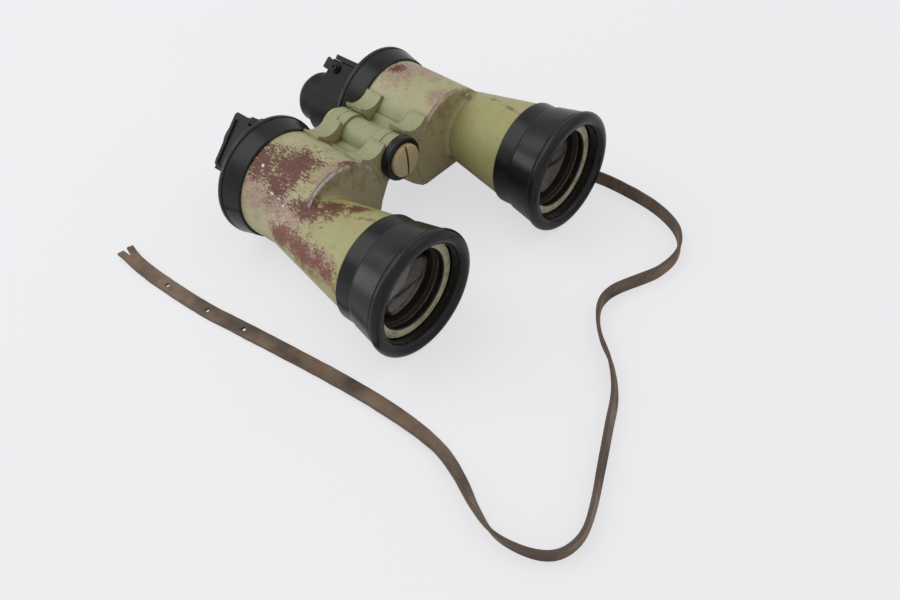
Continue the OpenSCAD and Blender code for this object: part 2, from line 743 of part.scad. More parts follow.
flap_rear_s = eye_body_s - 0.6;
flap_front_s = flap_rear_s - flap_len;
flap_half = flap_w / 2;
rod_n = flap_n + flap_t / 2;
rod_u = flap_half - flap_t / 2;
rod_r = rod_d / 2;
pad_n = flap_n - 0.3;
pad_lean = 7;
pad_side = eye_body_r - 0.2;
pad_s = eye_body_front_s + 2.4;
pad_len = eye_body_s - pad_s - 1.4;
hinge_pad_u = flap_half - 4;
pad_round = 0.8;
knob_rise = 1.9;
lug_knuckle_len = 7;
lug_knuckle_s = flap_front_s + 5.6;
knuckle_side_gap = 0.3;
arm_n = 19.8;
arm_s = eye_body_s - 7.5;
arm_low_n = 17.2;
arm_high_n = 25.2;
arm_rear_s = eye_body_s + 2.3;
arm_hub_r = 3.5;
arm_side_gap = 0.2;
arm_shank_r = 1.4;
arm_shank_len = 4;
arm_head_t = 1.4;
tray_rim = 2.4;
tray_deep = 1.1;
tray_round = 4.6;
flap_edge_round = 2.8;

// A bar along Y in the flap's frame.
module flap_bar(n, u, r, s0, s1) {
    translate([n, s0, u]) rotate([-90, 0, 0]) cylinder(h = s1 - s0, r = r, $fn = fine);
}

// A plate with rounded corners, drawn across the flap's thickness.
module tray_outline(inset, top) {
    low = -flap_half + inset;
    front = flap_front_s + inset;
    rear = flap_rear_s - inset;
    r = tray_round - inset;
    polygon(concat(
        [[top, front], [top, rear]],
        arc([low + r, rear - r], r, 90, 180, 6),
        arc([low + r, front + r], r, 180, 270, 6)));
}

// Stands an outline of [width, distance from the front] up between two depths.
module tray_plate(n0, n1, inset, top) {
    translate([n1, 0, 0]) rotate([0, -90, 0]) linear_extrude(n1 - n0) tray_outline(inset, top);
}

// The flap's rounded long edge, drawn across its width.
module flap_section() {
    edge_n = flap_n + flap_t - flap_edge_round;
    translate([0, flap_rear_s + 1, 0]) rotate([90, 0, 0]) linear_extrude(flap_len + 2) polygon(concat(
        [[flap_n - 1, rod_u + 1], [flap_n + flap_t + 1, rod_u + 1],
        [flap_n + flap_t + 1, 0], [flap_n + flap_t, 0]],
        arc([edge_n, flap_edge_round - flap_half], flap_edge_round, 0, -90, 6),
        [[flap_n - 1, -flap_half]]));
}

module flap(side) {
    color(black) at_flap(side) difference() {
        union() {
            intersection() {
                tray_plate(flap_n, flap_n + flap_t, 0, rod_u);
                flap_section();
            }
            flap_bar(rod_n, rod_u, flap_t / 2, flap_front_s, flap_rear_s - 0.4);
        }
        tray_plate(flap_n + flap_t - tray_deep, flap_n + flap_t + 1, tray_rim, rod_u - tray_rim);
        translate([flap_n - 1, lug_knuckle_s - knuckle_side_gap, rod_u - flap_t / 2 - 0.6])
            cube([flap_t + 2, lug_knuckle_len + 2 * knuckle_side_gap, flap_t + 2]);
        flap_bar(rod_n, rod_u, rod_r + run_fit, flap_front_s - 1, flap_rear_s + 1);
    }
}

module flap_rod(side) {
    color(steel) at_flap(side) flap_bar(rod_n, rod_u, rod_r - 0.02, flap_front_s + 0.3, flap_rear_s - 0.7);
}

module side_arm(side) {
    color(black) at_arm(side) difference() {
        translate([0, 0, pad_side]) linear_extrude(arm_t) {
            translate([arm_n, arm_s]) circle(r = arm_hub_r, $fn = fine);
            polygon([[arm_n - arm_hub_r + arm_side_gap, arm_s + 1],
                [arm_n + arm_hub_r - arm_side_gap, arm_s + 1],
                [arm_high_n, arm_rear_s - 1], [arm_high_n - 1, arm_rear_s], [arm_low_n, arm_rear_s]]);
        }
        translate([arm_n, arm_s, pad_side - 1]) cylinder(h = arm_t + 2, r = arm_shank_r + seat, $fn = fine);
    }
}

module arm_screw(side) {
    head_u = pad_side + arm_t;
    color(steel) at_arm(side) translate([arm_n, arm_s, 0]) difference() {
        union() {
            translate([0, 0, pad_side - arm_shank_len + 0.4])
                cylinder(h = arm_shank_len + arm_t, r = arm_shank_r - seat, $fn = fine);
            translate([0, 0, head_u]) cylinder(h = arm_head_t, r = hub_d / 2, $fn = fine);
        }
        translate([0, 0, head_u + arm_head_t - 0.7]) cylinder(h = 1, r = 1.3, $fn = 6);
    }
}

// Hinge pin and caps

cap_spigot_r = 3;
cap_spigot_len = 7;
hinge_face_s = knuckle_front_s - 0.2;

module hinge_pin() {
    color(steel) difference() {
        along_y(0, hinge_z, pin_r - 0.02, knuckle_front_s, knuckle_rear_s + 3);
        along_y(0, hinge_z, cap_spigot_r + seat, knuckle_front_s - 1, knuckle_front_s + cap_spigot_len + 1);
    }
}

cap_dome = 1.3;
cap_slot_deep = 0.6;
module hinge_cap() {
    r = hinge_cap_d / 2;
    front_s = hinge_face_s - hinge_cap_len;
    dome_r = (r * r + cap_dome * cap_dome) / (2 * cap_dome);
    color(bezel_paint) difference() {
        turned(0, hinge_z, concat(bowl(dome_r, r - 0.5, front_s - cap_dome, 1),
            [[r, front_s + 0.4], [r, hinge_face_s], [cap_spigot_r, hinge_face_s],
            [cap_spigot_r, knuckle_front_s + cap_spigot_len], [0, knuckle_front_s + cap_spigot_len]]));
        translate([-slot_w / 2, y_front + front_s - cap_dome - 1, hinge_z - hinge_cap_d])
            cube([slot_w, cap_dome + 1 + cap_slot_deep, 2 * hinge_cap_d]);
    }
}

ring_edge_round = 1.6;
module hinge_ring() {
    r = hinge_ring_d / 2;
    inner = hinge_cap_d / 2 + seat;
    edge_s = hinge_face_s - hinge_ring_len;
    color(rubber) turned(0, hinge_z, concat(
        [[inner, hinge_face_s], [inner, edge_s + 0.3], [inner + 0.4, edge_s]],
        arc([r - ring_edge_round, edge_s + ring_edge_round], ring_edge_round, -90, 0, 5),
        [[r, edge_s + 2.6], [r - 0.5, edge_s + 2.9], [r, edge_s + 3.2], [r, hinge_face_s]]));
}

module rear_hinge_cap() {
    r = rear_cap_d / 2;
    rear_s = knuckle_rear_s + 5;
    color(black) difference() {
        turned(0, hinge_z, concat([[0, knuckle_rear_s + 0.1], [r, knuckle_rear_s + 0.1]],
            arc([r - 1.5, rear_s - 1.5], 1.5, 0, 90, 5), [[0, rear_s]]));
        along_y(0, hinge_z, pin_r + 0.02, knuckle_rear_s - 1, knuckle_rear_s + 3.2);
    }
}

// Strap lug on the right housing, and the strap

lug_s = 122;
lug_hole_x = 81;
lug_root_x = 60;
lug_z = 12.5;
lug_slot_w = strap_t + 0.7;
lug_slot_h = strap_w + 1.4;
bar_x = lug_hole_x + lug_slot_w / 2;
housing_r_at_lug = between(housing_front_s, housing_front_r, housing_rear_s, housing_rear_r, lug_s);

module strap_lug() {
    color(paint) difference() {
        slab(lug_s, lug_s + lug_t) polygon([
            [lug_root_x, lug_z - lug_slot_h / 2 - lug_bar + 1],
            [bar_x + lug_bar - 1, lug_z - lug_slot_h / 2 - lug_bar],
            [bar_x + lug_bar, lug_z - lug_slot_h / 2 - lug_bar + 1],
            [bar_x + lug_bar, lug_z + lug_slot_h / 2 + 1.5], [bar_x + 1, lug_z + lug_slot_h / 2 + lug_bar],
            [lug_root_x, lug_z + lug_slot_h / 2 + lug_bar + 4]]);
        slab(lug_s - 1, lug_s + lug_t + 1) translate([lug_hole_x - lug_slot_w / 2, lug_z - lug_slot_h / 2])
            square([lug_slot_w, lug_slot_h]);
        turned(housing_x, housing_z, [[0, housing_front_s], [housing_front_r + seat, housing_front_s],
            [housing_rear_r + seat, housing_rear_s], [0, housing_rear_s]]);
    }
}

// The strap's end goes round the outer bar of the lug and is riveted to itself.
loop_gap = 0.35;
loop_in_x = bar_x - loop_gap - strap_t;
loop_out_x = bar_x + lug_bar + loop_gap;
loop_mid_x = (loop_in_x + loop_out_x + strap_t) / 2;
loop_r = (loop_out_x + strap_t - loop_in_x) / 2;
loop_rear_y = y_front + lug_s + lug_t + loop_gap;
loop_front_y = y_front + lug_s - 16;
rivet_y = loop_front_y + 5;
rivet_r = 1.5;
rivet_head_r = 2.8;

module loop_outline() {
    pinch_y = loop_front_y + 10;
    difference() {
        polygon(concat(
            [[loop_mid_x - strap_t, loop_front_y], [loop_mid_x + strap_t, loop_front_y],
            [loop_mid_x + strap_t, pinch_y - 1], [loop_out_x + strap_t, y_front + lug_s - 0.5]],
            arc([loop_mid_x, loop_rear_y], loop_r, 0, 180, 12),
            [[loop_in_x, y_front + lug_s - 0.5], [loop_mid_x - strap_t, pinch_y - 1]]));
        polygon(concat(
            [[loop_mid_x, pinch_y], [loop_out_x, y_front + lug_s]],
            arc([loop_mid_x, loop_rear_y], loop_r - strap_t, 0, 180, 12),
            [[loop_in_x + strap_t, y_front + lug_s]]));
    }
}

module strap_loop() {
    color(leather) difference() {
        translate([0, 0, lug_z - strap_w / 2]) linear_extrude(strap_w) loop_outline();
        translate([loop_mid_x - 10, rivet_y, lug_z]) rotate([0, 90, 0])
            cylinder(h = 20, r = rivet_r + seat, $fn = fine);
    }
}

module strap_rivet() {
    color(brass) translate([loop_mid_x, rivet_y, lug_z]) rotate([0, 90, 0]) {
        translate([0, 0, -strap_t - 1]) cylinder(h = 2 * strap_t + 2, r = rivet_r, $fn = fine);
        translate([0, 0, -strap_t - 1]) cylinder(h = 1, r = rivet_head_r, $fn = fine);
        translate([0, 0, strap_t]) cylinder(h = 1, r = rivet_head_r, $fn = fine);
    }
}

// Route of the strap on the floor: x, y, lean (90 stands on edge, 0 lies flat) and lift of its middle.
STRAP_POINTS = [
    [loop_mid_x, loop_front_y - 0.3, 90, lug_z], [86, -6, 90, 11], [90, -25, 90, 7.5],
    [98, -47, 90, 5.2], [106, -69, 90, 5.1], [112, -91, 90, 5.1], [112, -114, 90, 5.1],
    [109, -138, 90, 5.1], [101, -158, 90, 5.1], [90, -169, 90, 5.1], [76, -174, 90, 5.1],
    [60, -173, 90, 5.1], [47, -168, 90, 5.1],
    [36, -163, 90, 5.1], [26, -160, 88, 5.1], [15, -161, 86, 5.1], [4, -167, 82, 5.1], [-7, -177, 78, 5.1],
    [-18, -191, 74, 5], [-35, -205, 72, 5], [-55, -215, 72, 5], [-78, -226, 74, 5], [-99, -236, 80, 5.1],
    [-116, -241, 88, 5.1], [-130, -238, 94, 5.1], [-138, -227, 98, 5.1], [-141, -209, 106, 5.1],
    [-136, -192, 118, 5], [-127, -174, 132, 4.6], [-120, -153, 148, 3.8], [-118, -123, 166, 2.6],
    [-120, -86, 174, 1.9], [-124, -50, 178, 1.5], [-130, -4, 180, 1.3], [-134, 26, 180, 1.3],
    [-136, 64, 180, 1.3], [-136, 91, 178, 2], [-134, 109, 176, 3.2]];
strap_steps = 2;
strap_bevel = 0.5;

function catmull(a, b, c, d, t) =
    0.5 * (2 * b + (c - a) * t + (2 * a - 5 * b + 4 * c - d) * t * t + (3 * b - a - 3 * c + d) * t * t * t);

strap_last = len(STRAP_POINTS) - 1;
function strap_at(i, t) = catmull(STRAP_POINTS[max(i - 1, 0)], STRAP_POINTS[i],
    STRAP_POINTS[min(i + 1, strap_last)], STRAP_POINTS[min(i + 2, strap_last)], t);
strap_path = concat([for (i = [0:strap_last - 1], k = [0:strap_steps - 1]) strap_at(i, k / strap_steps)],
    [STRAP_POINTS[strap_last]]);
strap_rings = len(strap_path);
strap_section = [
    [strap_w / 2, -strap_t / 2 + strap_bevel], [strap_w / 2, strap_t / 2 - strap_bevel],
    [strap_w / 2 - strap_bevel, strap_t / 2], [-strap_w / 2 + strap_bevel, strap_t / 2],
    [-strap_w / 2, strap_t / 2 - strap_bevel], [-strap_w / 2, -strap_t / 2 + strap_bevel],
    [-strap_w / 2 + strap_bevel, -strap_t / 2], [strap_w / 2 - strap_bevel, -strap_t / 2]];
section_n = len(strap_section);

// One ring of the strap: its width leans from the side of the route up to the vertical.
function strap_ring(i) =
    let (p = strap_path[i], before = strap_path[max(i - 1, 0)],
        after = strap_path[min(i + 1, strap_rings - 1)],
        step = [after[0] - before[0], after[1] - before[1]], along = step / norm(step),
        side = [along[1], -along[0], 0], wide = side * cos(p[2]) + [0, 0, sin(p[2])],
        thick = [0, 0, cos(p[2])] - side * sin(p[2]))
    [for (q = strap_section) [p[0], p[1], p[3]] + wide * q[0] + thick * q[1]];

module strap() {
    points = [for (i = [0:strap_rings - 1]) each strap_ring(i)];
    walls = [for (i = [0:strap_rings - 2], k = [0:section_n - 1]) let (
            a = i * section_n + k, b = i * section_n + (k + 1) % section_n)
        each [[a, b, b + section_n], [a, b + section_n, a + section_n]]];
    start_cap = [for (k = [1:section_n - 2]) [0, k + 1, k]];
    first = (strap_rings - 1) * section_n;
    end_cap = [for (k = [1:section_n - 2]) [first, first + k, first + k + 1]];
    color(leather) polyhedron(points, concat(walls, start_cap, end_cap));
}

module side_part(side, part) {
    on_side(side) {
        if (part == "body") body(side);
        if (part == "housing_ring") housing_ring();
        if (part == "objective_cover") objective_cover();
        if (part == "bezel") bezel();
        if (part == "objective_cell") objective_cell();
        if (part == "cell_ring") cell_ring();
        if (part == "front_lens") front_lens();
        if (part == "back_lens") back_lens();
        if (part == "rear_cover") rear_cover();
        if (part == "cover_screws") cover_screw_set();
        if (part == "prism_shelf") prism_shelf();
        if (part == "front_prism") front_prism();
        if (part == "rear_prism") rear_prism();
        if (part == "prism_clips") prism_clips();
        if (part == "eyepiece_body") eyepiece_body(side);
        if (part == "eyecup") eyecup();
        if (part == "eye_tube") eye_tube();
        if (part == "field_lens") field_lens();
        if (part == "eye_lens") eye_lens();
        if (part == "flap") flap(side);
        if (part == "flap_rod") flap_rod(side);
        if (part == "side_arm") side_arm(side);
        if (part == "arm_screw") arm_screw(side);
    }
}

for (side = SIDES, part = PARTS) {
    side_part(side, part);
}
sealing_plug();
hinge_pin();
hinge_cap();
hinge_ring();
rear_hinge_cap();
strap_lug();
strap_loop();
strap_rivet();
strap();
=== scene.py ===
import math

import bmesh
import bpy
from mathutils import Euler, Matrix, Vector, noise


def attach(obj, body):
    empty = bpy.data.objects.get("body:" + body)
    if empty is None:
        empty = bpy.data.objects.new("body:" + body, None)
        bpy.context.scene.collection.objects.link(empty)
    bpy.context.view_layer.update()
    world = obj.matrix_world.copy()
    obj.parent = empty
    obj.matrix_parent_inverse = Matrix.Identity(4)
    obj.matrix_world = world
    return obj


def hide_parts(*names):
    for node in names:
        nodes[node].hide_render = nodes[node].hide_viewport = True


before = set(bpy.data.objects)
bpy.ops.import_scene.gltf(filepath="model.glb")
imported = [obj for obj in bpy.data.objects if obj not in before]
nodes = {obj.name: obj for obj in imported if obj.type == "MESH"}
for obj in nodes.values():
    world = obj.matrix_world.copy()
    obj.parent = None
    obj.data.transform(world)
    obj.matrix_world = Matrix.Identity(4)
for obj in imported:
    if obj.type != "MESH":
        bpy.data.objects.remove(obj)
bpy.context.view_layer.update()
mm = 0.001
print("frame loaded:", len(nodes), "solids")

# the camera stands where the photograph was taken from
camera = {
    "place": (-0.30537, -0.35089, 0.39318),
    "turn": (43.890, 2.952, -48.747),
    "lens": 36.04,
}


def makeCamera():
    data = bpy.data.cameras.new("camera")
    data.lens = camera["lens"]
    data.sensor_width = 36
    data.clip_start = 0.01
    obj = bpy.data.objects.new("camera", data)
    obj.location = camera["place"]
    obj.rotation_euler = Euler([math.radians(a) for a in camera["turn"]])
    bpy.context.scene.collection.objects.link(obj)
    bpy.context.scene.camera = obj


makeCamera()
print("camera set")


# small helpers for shader trees
def srgb(red, green, blue):
    def linear(v):
        v = v / 255
        return v / 12.92 if v <= 0.04045 else ((v + 0.055) / 1.055) ** 2.4
    return (linear(red), linear(green), linear(blue), 1)


def feed(tree, target, value):
    if isinstance(value, bpy.types.NodeSocket):
        tree.links.new(value, target)
    else:
        target.default_value = value


def addNode(tree, kind, inputs=None, **settings):
    made = tree.nodes.new(kind)
    for name, value in settings.items():
        setattr(made, name, value)
    for name, value in (inputs or {}).items():
        feed(tree, made.inputs[name], value)
    return made


def calc(tree, operation, a, b=0.0, c=0.0, clamp=False):
    made = addNode(tree, "ShaderNodeMath", operation=operation, use_clamp=clamp)
    for i, value in enumerate((a, b, c)):
        feed(tree, made.inputs[i], value)
    return made.outputs[0]


def times(tree, first, *others):
    for value in others:
        first = calc(tree, "MULTIPLY", first, value)
    return first


def parts(tree, vector):
    return addNode(tree, "ShaderNodeSeparateXYZ", {"Vector": vector}).outputs


# how far a point lies from an axis along Y that is given in mm
def awayFromAxis(tree, across, height, axis):
    aside = calc(tree, "SUBTRACT", across, axis[0] * mm)
    above = calc(tree, "SUBTRACT", height, axis[1] * mm)
    squares = [times(tree, v, v) for v in (aside, above)]
    return calc(tree, "SQRT", calc(tree, "ADD", *squares))


def ramp(tree, value, low, high, start=0.0, end=1.0):
    made = addNode(tree, "ShaderNodeMapRange", {
        "Value": value, "From Min": low, "From Max": high, "To Min": start, "To Max": end},
        interpolation_type="SMOOTHSTEP")
    return made.outputs["Result"]


def mixColour(tree, share, a, b, way="MIX"):
    made = addNode(tree, "ShaderNodeMix", data_type="RGBA", blend_type=way)
    feed(tree, made.inputs[0], share)
    feed(tree, made.inputs[6], a)
    feed(tree, made.inputs[7], b)
    return made.outputs[2]


def mixValue(tree, share, a, b):
    made = addNode(tree, "ShaderNodeMix", data_type="FLOAT")
    feed(tree, made.inputs[0], share)
    feed(tree, made.inputs[2], a)
    feed(tree, made.inputs[3], b)
    return made.outputs[0]


def stretch(tree, coords, scale=(1, 1, 1), place=(0, 0, 0), turn=(0, 0, 0)):
    made = addNode(tree, "ShaderNodeMapping", {
        "Vector": coords, "Scale": scale, "Location": place,
        "Rotation": [math.radians(a) for a in turn]})
    return made.outputs["Vector"]


def cloud(tree, coords, scale, detail=3.0, roughness=0.5, distortion=0.0):
    made = addNode(tree, "ShaderNodeTexNoise", {
        "Vector": coords, "Scale": scale, "Detail": detail, "Roughness": roughness,
        "Distortion": distortion})
    return made.outputs["Fac"]


def bump(tree, height, strength=0.3, distance=0.0005, normal=None):
    made = addNode(tree, "ShaderNodeBump", {
        "Height": height, "Strength": strength, "Distance": distance})
    if normal is not None:
        tree.links.new(normal, made.inputs["Normal"])
    return made.outputs["Normal"]


def newGroup(name, inputs, outputs):
    tree = bpy.data.node_groups.new(name, "ShaderNodeTree")
    for label, kind, value in inputs:
        made = tree.interface.new_socket(label, in_out="INPUT", socket_type="NodeSocket" + kind)
        if value is not None:
            made.default_value = value
    for label, kind in outputs:
        tree.interface.new_socket(label, in_out="OUTPUT", socket_type="NodeSocket" + kind)
    return tree, tree.nodes.new("NodeGroupInput").outputs, tree.nodes.new("NodeGroupOutput").inputs


def useGroup(tree, group, inputs):
    made = addNode(tree, "ShaderNodeGroup", node_tree=group)
    for name, value in inputs.items():
        feed(tree, made.inputs[name], value)
    return made.outputs


def makeWornEdge():
    tree, given, out = newGroup("wornEdge", [
        ("Coords", "Vector", None), ("Width", "Float", 0.0006), ("Patchiness", "Float", 0.5),
        ("Scale", "Float", 300.0)], [("Mask", "Float"), ("Normal", "Vector")])
    soft = addNode(tree, "ShaderNodeBevel", {"Radius": given["Width"]}, samples=6)
    geometry = addNode(tree, "ShaderNodeNewGeometry")
    facing = addNode(tree, "ShaderNodeVectorMath", operation="DOT_PRODUCT")
    tree.links.new(soft.outputs[0], facing.inputs[0])
    tree.links.new(geometry.outputs["Normal"], facing.inputs[1])
    edge = ramp(tree, facing.outputs["Value"], 0.995, 0.9)
    rough = cloud(tree, given["Coords"], given["Scale"], 4, 0.6)
    held = calc(tree, "SUBTRACT", edge, times(tree, given["Patchiness"], rough))
    feed(tree, out["Mask"], ramp(tree, held, 0.12, 0.4))
    feed(tree, out["Normal"], soft.outputs[0])
    return tree


def makeWornSpot():
    # 1 in the middle of a spot, 0 at its edge, less outside
    tree, given, out = newGroup("wornSpot", [
        ("Coords", "Vector", None), ("Centre", "Vector", (0, 0, 0)),
        ("Reach", "Vector", (0.01, 0.01, 0.01)), ("Field", "Float", -9.0)], [("Field", "Float")])
    away = addNode(tree, "ShaderNodeVectorMath", operation="SUBTRACT")
    tree.links.new(given["Coords"], away.inputs[0])
    tree.links.new(given["Centre"], away.inputs[1])
    scaled = addNode(tree, "ShaderNodeVectorMath", operation="DIVIDE")
    tree.links.new(away.outputs[0], scaled.inputs[0])
    tree.links.new(given["Reach"], scaled.inputs[1])
    length = addNode(tree, "ShaderNodeVectorMath", operation="LENGTH")
    tree.links.new(scaled.outputs[0], length.inputs[0])
    inside = calc(tree, "SUBTRACT", 1.0, length.outputs["Value"])
    feed(tree, out["Field"], calc(tree, "MAXIMUM", inside, given["Field"]))
    return tree


# darkens hollows and crevices by ambient occlusion: painted shade
def makeHollowShadeGroup():
    tree, given, out = newGroup("hollowShadeGroup", [
        ("Coords", "Vector", None), ("Reach", "Float", 0.004)], [("Mask", "Float")])
    hollow = addNode(tree, "ShaderNodeAmbientOcclusion", {"Distance": given["Reach"]},
        samples=6, only_local=True)
    rough = cloud(tree, given["Coords"], 260, 4, 0.65)
    deep = calc(tree, "SUBTRACT", 1.0, hollow.outputs["AO"])
    uneven = times(tree, deep, calc(tree, "ADD", rough, 0.5))
    feed(tree, out["Mask"], ramp(tree, uneven, 0.25, 0.8))
    return tree


wornEdge = makeWornEdge()
wornSpot = makeWornSpot()
hollowShadeGroup = makeHollowShadeGroup()


def spots(tree, coords, places):
    field = -9.0
    for centre, reach in places:
        made = useGroup(tree, wornSpot, {
            "Coords": coords, "Centre": [v * mm for v in centre],
            "Reach": [v * mm for v in reach], "Field": field})
        field = made["Field"]
    return field


def newMaterial(name):
    made = bpy.data.materials.new(name)
    made.use_nodes = True
    tree = made.node_tree
    tree.nodes.clear()
    out = addNode(tree, "ShaderNodeOutputMaterial")
    shader = addNode(tree, "ShaderNodeBsdfPrincipled")
    tree.links.new(shader.outputs[0], out.inputs["Surface"])
    coords = addNode(tree, "ShaderNodeTexCoord").outputs
    return made, tree, shader.inputs, coords


# old khaki enamel over red primer; places and reaches of the wear are in mm
khakiPaint = {
    "khaki": srgb(172, 168, 130),
    "olive": srgb(160, 156, 98),
    "green": srgb(150, 155, 116),
    # darker tan for painted shade on faces that look forward and down
    "shadeTan": srgb(150, 134, 100),
    "primer": srgb(98, 36, 28),
    "deepPrimer": srgb(72, 28, 22),
    "mauvePrimer": srgb(118, 62, 52),
    "rubbed": srgb(166, 138, 124),
    # the grime colour also darkens hollows as painted shade
    "crack": srgb(112, 78, 62),
    "grime": srgb(66, 56, 42),
    "scratch": srgb(128, 112, 84),
    "metal": srgb(196, 194, 192),
    "lilac": srgb(172, 162, 166),
    "stain": srgb(98, 72, 60),
    "roughness": 0.44,
    "drum": {"x": 50, "z": 39.9, "front": -17.7, "rim": 33.4, "hold": 0.5},
}
leftWear = {
    "primer": [((-66, 27, 70), (16, 17, 14)), ((-59, 8, 73), (22, 19, 12)), ((-72, 12, 66), (12, 14, 13)),
        ((-90, -30, 48), (12, 34, 12)), ((-74, -18, 62), (10, 16, 7)), ((-93, -52, 49), (8, 22, 9)),
        ((-66, -30, 65.5), (12, 14, 4)), ((-58, -42, 67), (9, 12, 4)), ((-88, -4, 46), (9, 12, 12)),
        ((-38, -14, 71), (10, 4, 6))],
    "rubbed": [((-79, 27, 58), (15, 26, 16)), ((-80, 5, 56), (14, 20, 16)), ((-80, -11, 58), (13, 18, 14)),
        ((-72, 18, 66), (14, 20, 12)), ((-50, -12, 72), (18, 8, 10)), ((-92, -40, 50), (8, 30, 14))],
    "metal": [((-68, 27, 70), (1.5, 1.5, 1.5)), ((-76.6, 11.3, 62), (1.0, 2.6, 1.2)),
        ((-78.5, 0, 59.4), (1.8, 1.0, 1.8)), ((-77, 5, 61.5), (0.8, 1.2, 0.8)),
        ((-73, 18, 65), (0.9, 0.9, 0.9))],
    "front": [((-50, -17, 70), (24, 5, 9)), ((-30, -17, 62), (12, 5, 14))],
}
rightWear = {
    "primer": [((52, 30, 75.5), (7, 6, 4)), ((84, -17, 48), (5, 14, 10))],
    "rubbed": [((52, 24, 76), (22, 16, 9)), ((64, 18, 72), (16, 22, 10)), ((80, 17, 56), (12, 26, 16)),
        ((44, -11, 72), (10, 8, 12)), ((84, -33, 52), (10, 20, 14))],
    "metal": [((64, -1, 72), (1.1, 1.1, 1.1))],
    "front": [((44, -17, 70), (20, 5, 8)), ((30, -17, 62), (10, 5, 14))],
}


# noise scales in one per metre, and how far each layer of wear may go
khakiGrain = {
    "wide": 32, "medium": 150, "fine": 1100, "grain": 1150, "hatch": 1000, "crack": 420,
    "chip": 190.0, "chipField": 46, "silver": 120,
}
# the shares for faces that look forward and down, and for hollows, set how strong the painted shade is
# there
khakiShare = {
    "cone": 0.7, "wideOlive": 0.55, "hinge": 0.8, "front": 0.75, "below": 0.4, "scratch": 0.16,
    "thin": 0.8, "crack": 0.7, "mottle": 0.26, "bare": 0.94, "mauve": 0.8, "chip": 0.7,
    "hollowShade": 0.8, "grime": 0.2, "edge": 0.85, "stain": 0.75,
}


def speckle(tree, field, noise, depth):
    return calc(tree, "ADD", field, times(tree, calc(tree, "SUBTRACT", noise, 0.5), depth))


def khakiNoises(tree, coords):
    grain = khakiGrain
    return {
        "wide": cloud(tree, coords, grain["wide"], 3, 0.55),
        "medium": cloud(tree, coords, grain["medium"], 4, 0.6),
        "fine": cloud(tree, coords, grain["fine"], 4, 0.7),
        "grain": cloud(tree, stretch(tree, coords, (1, 0.5, 1)), grain["grain"], 4, 0.7, 0.4),
        "hatch": cloud(tree, stretch(tree, coords, (1, 0.16, 1)), grain["hatch"], 4, 0.7, 0.6),
    }


# yellower on the cones and the drums' tops, greener at the hinge, and painted shade: darker tan on faces
# that look forward and on faces that look down
def khakiCoat(tree, at, facing, noises, front):
    share = khakiShare
    cone = ramp(tree, at["Y"], -0.001, -0.029)
    patchy = ramp(tree, noises["wide"], 0.42, 0.7, 0, share["wideOlive"])
    olive = calc(tree, "ADD", times(tree, cone, share["cone"]), patchy, clamp=True)
    colour = mixColour(tree, olive, khakiPaint["khaki"], khakiPaint["olive"])
    middle = ramp(tree, calc(tree, "ABSOLUTE", at["X"]), 0.034, 0.022)
    colour = mixColour(tree, times(tree, middle, share["hinge"]), colour, khakiPaint["green"])
    # painted shade: darker tan on faces that look forward, then on faces that look down
    colour = mixColour(tree, times(tree, front, share["front"]), colour, khakiPaint["shadeTan"])
    below = ramp(tree, facing["Z"], -0.1, -0.7)
    colour = mixColour(tree, times(tree, below, share["below"]), colour, khakiPaint["shadeTan"])
    scratched = ramp(tree, noises["medium"], 0.4, 0.7, 0, share["scratch"])
    return mixColour(tree, scratched, colour, khakiPaint["scratch"])


# rubbed thin and cracked, then through to the primer
def khakiWear(tree, coords, at, noises, wear, front, colour):
    share = khakiShare
    medium, grain = noises["medium"], noises["grain"]
    rubbed = speckle(tree, speckle(tree, spots(tree, coords, wear["rubbed"]), grain, 2.2), medium, 1.6)
    thin = ramp(tree, rubbed, 0.0, 0.7, 0, share["thin"])
    colour = mixColour(tree, thin, colour, khakiPaint["rubbed"])
    veins = cloud(tree, stretch(tree, coords, (1, 0.6, 1)), khakiGrain["crack"], 3, 0.6, 0.8)
    veins = calc(tree, "ABSOLUTE", calc(tree, "SUBTRACT", veins, 0.5))
    cracked = times(tree, ramp(tree, veins, 0.03, 0.012), ramp(tree, rubbed, -0.25, 0.35))
    colour = mixColour(tree, times(tree, cracked, share["crack"]), colour, khakiPaint["crack"])
    mottled = speckle(tree, spots(tree, coords, wear["front"]), medium, 4.0)
    mottle = times(tree, ramp(tree, mottled, 0.1, 0.7, 0, share["mottle"]), front)
    colour = mixColour(tree, mottle, colour, khakiPaint["deepPrimer"])
    base = speckle(tree, spots(tree, coords, wear["primer"]), medium, 1.6)
    gone = speckle(tree, speckle(tree, base, grain, 2.6), noises["hatch"], 1.8)
    bare = ramp(tree, gone, 0.16, 0.42, 0, share["bare"])
    deep = ramp(tree, noises["fine"], 0.4, 0.65)
    red = mixColour(tree, deep, khakiPaint["primer"], khakiPaint["deepPrimer"])
    low = ramp(tree, at["Z"], 0.062, 0.054, 0, share["mauve"])
    red = mixColour(tree, low, red, khakiPaint["mauvePrimer"])
    return mixColour(tree, bare, colour, red), bare


# dark chips and grime over the whole coat, and painted shade darkening its hollows
def khakiGrimeAndShade(tree, coords, noises, colour):
    share = khakiShare
    fine = noises["fine"]
    cells = addNode(tree, "ShaderNodeTexVoronoi", {
        "Vector": coords, "Scale": khakiGrain["chip"], "Randomness": 1.0}).outputs["Distance"]
    chip = times(tree, ramp(tree, speckle(tree, cells, fine, 0.3), 0.13, 0.08),
        ramp(tree, cloud(tree, coords, khakiGrain["chipField"], 2), 0.5, 0.62))
    colour = mixColour(tree, times(tree, chip, share["chip"]), colour, khakiPaint["grime"])
    # painted shade: the grime colour darkens hollows by ambient occlusion
    hollowShade = useGroup(tree, hollowShadeGroup, {"Coords": coords, "Reach": 0.004})["Mask"]
    colour = mixColour(tree, times(tree, hollowShade, share["hollowShade"]), colour, khakiPaint["grime"])
    grime = ramp(tree, fine, 0.4, 0.75, 0, share["grime"])
    return mixColour(tree, grime, colour, khakiPaint["grime"]), chip


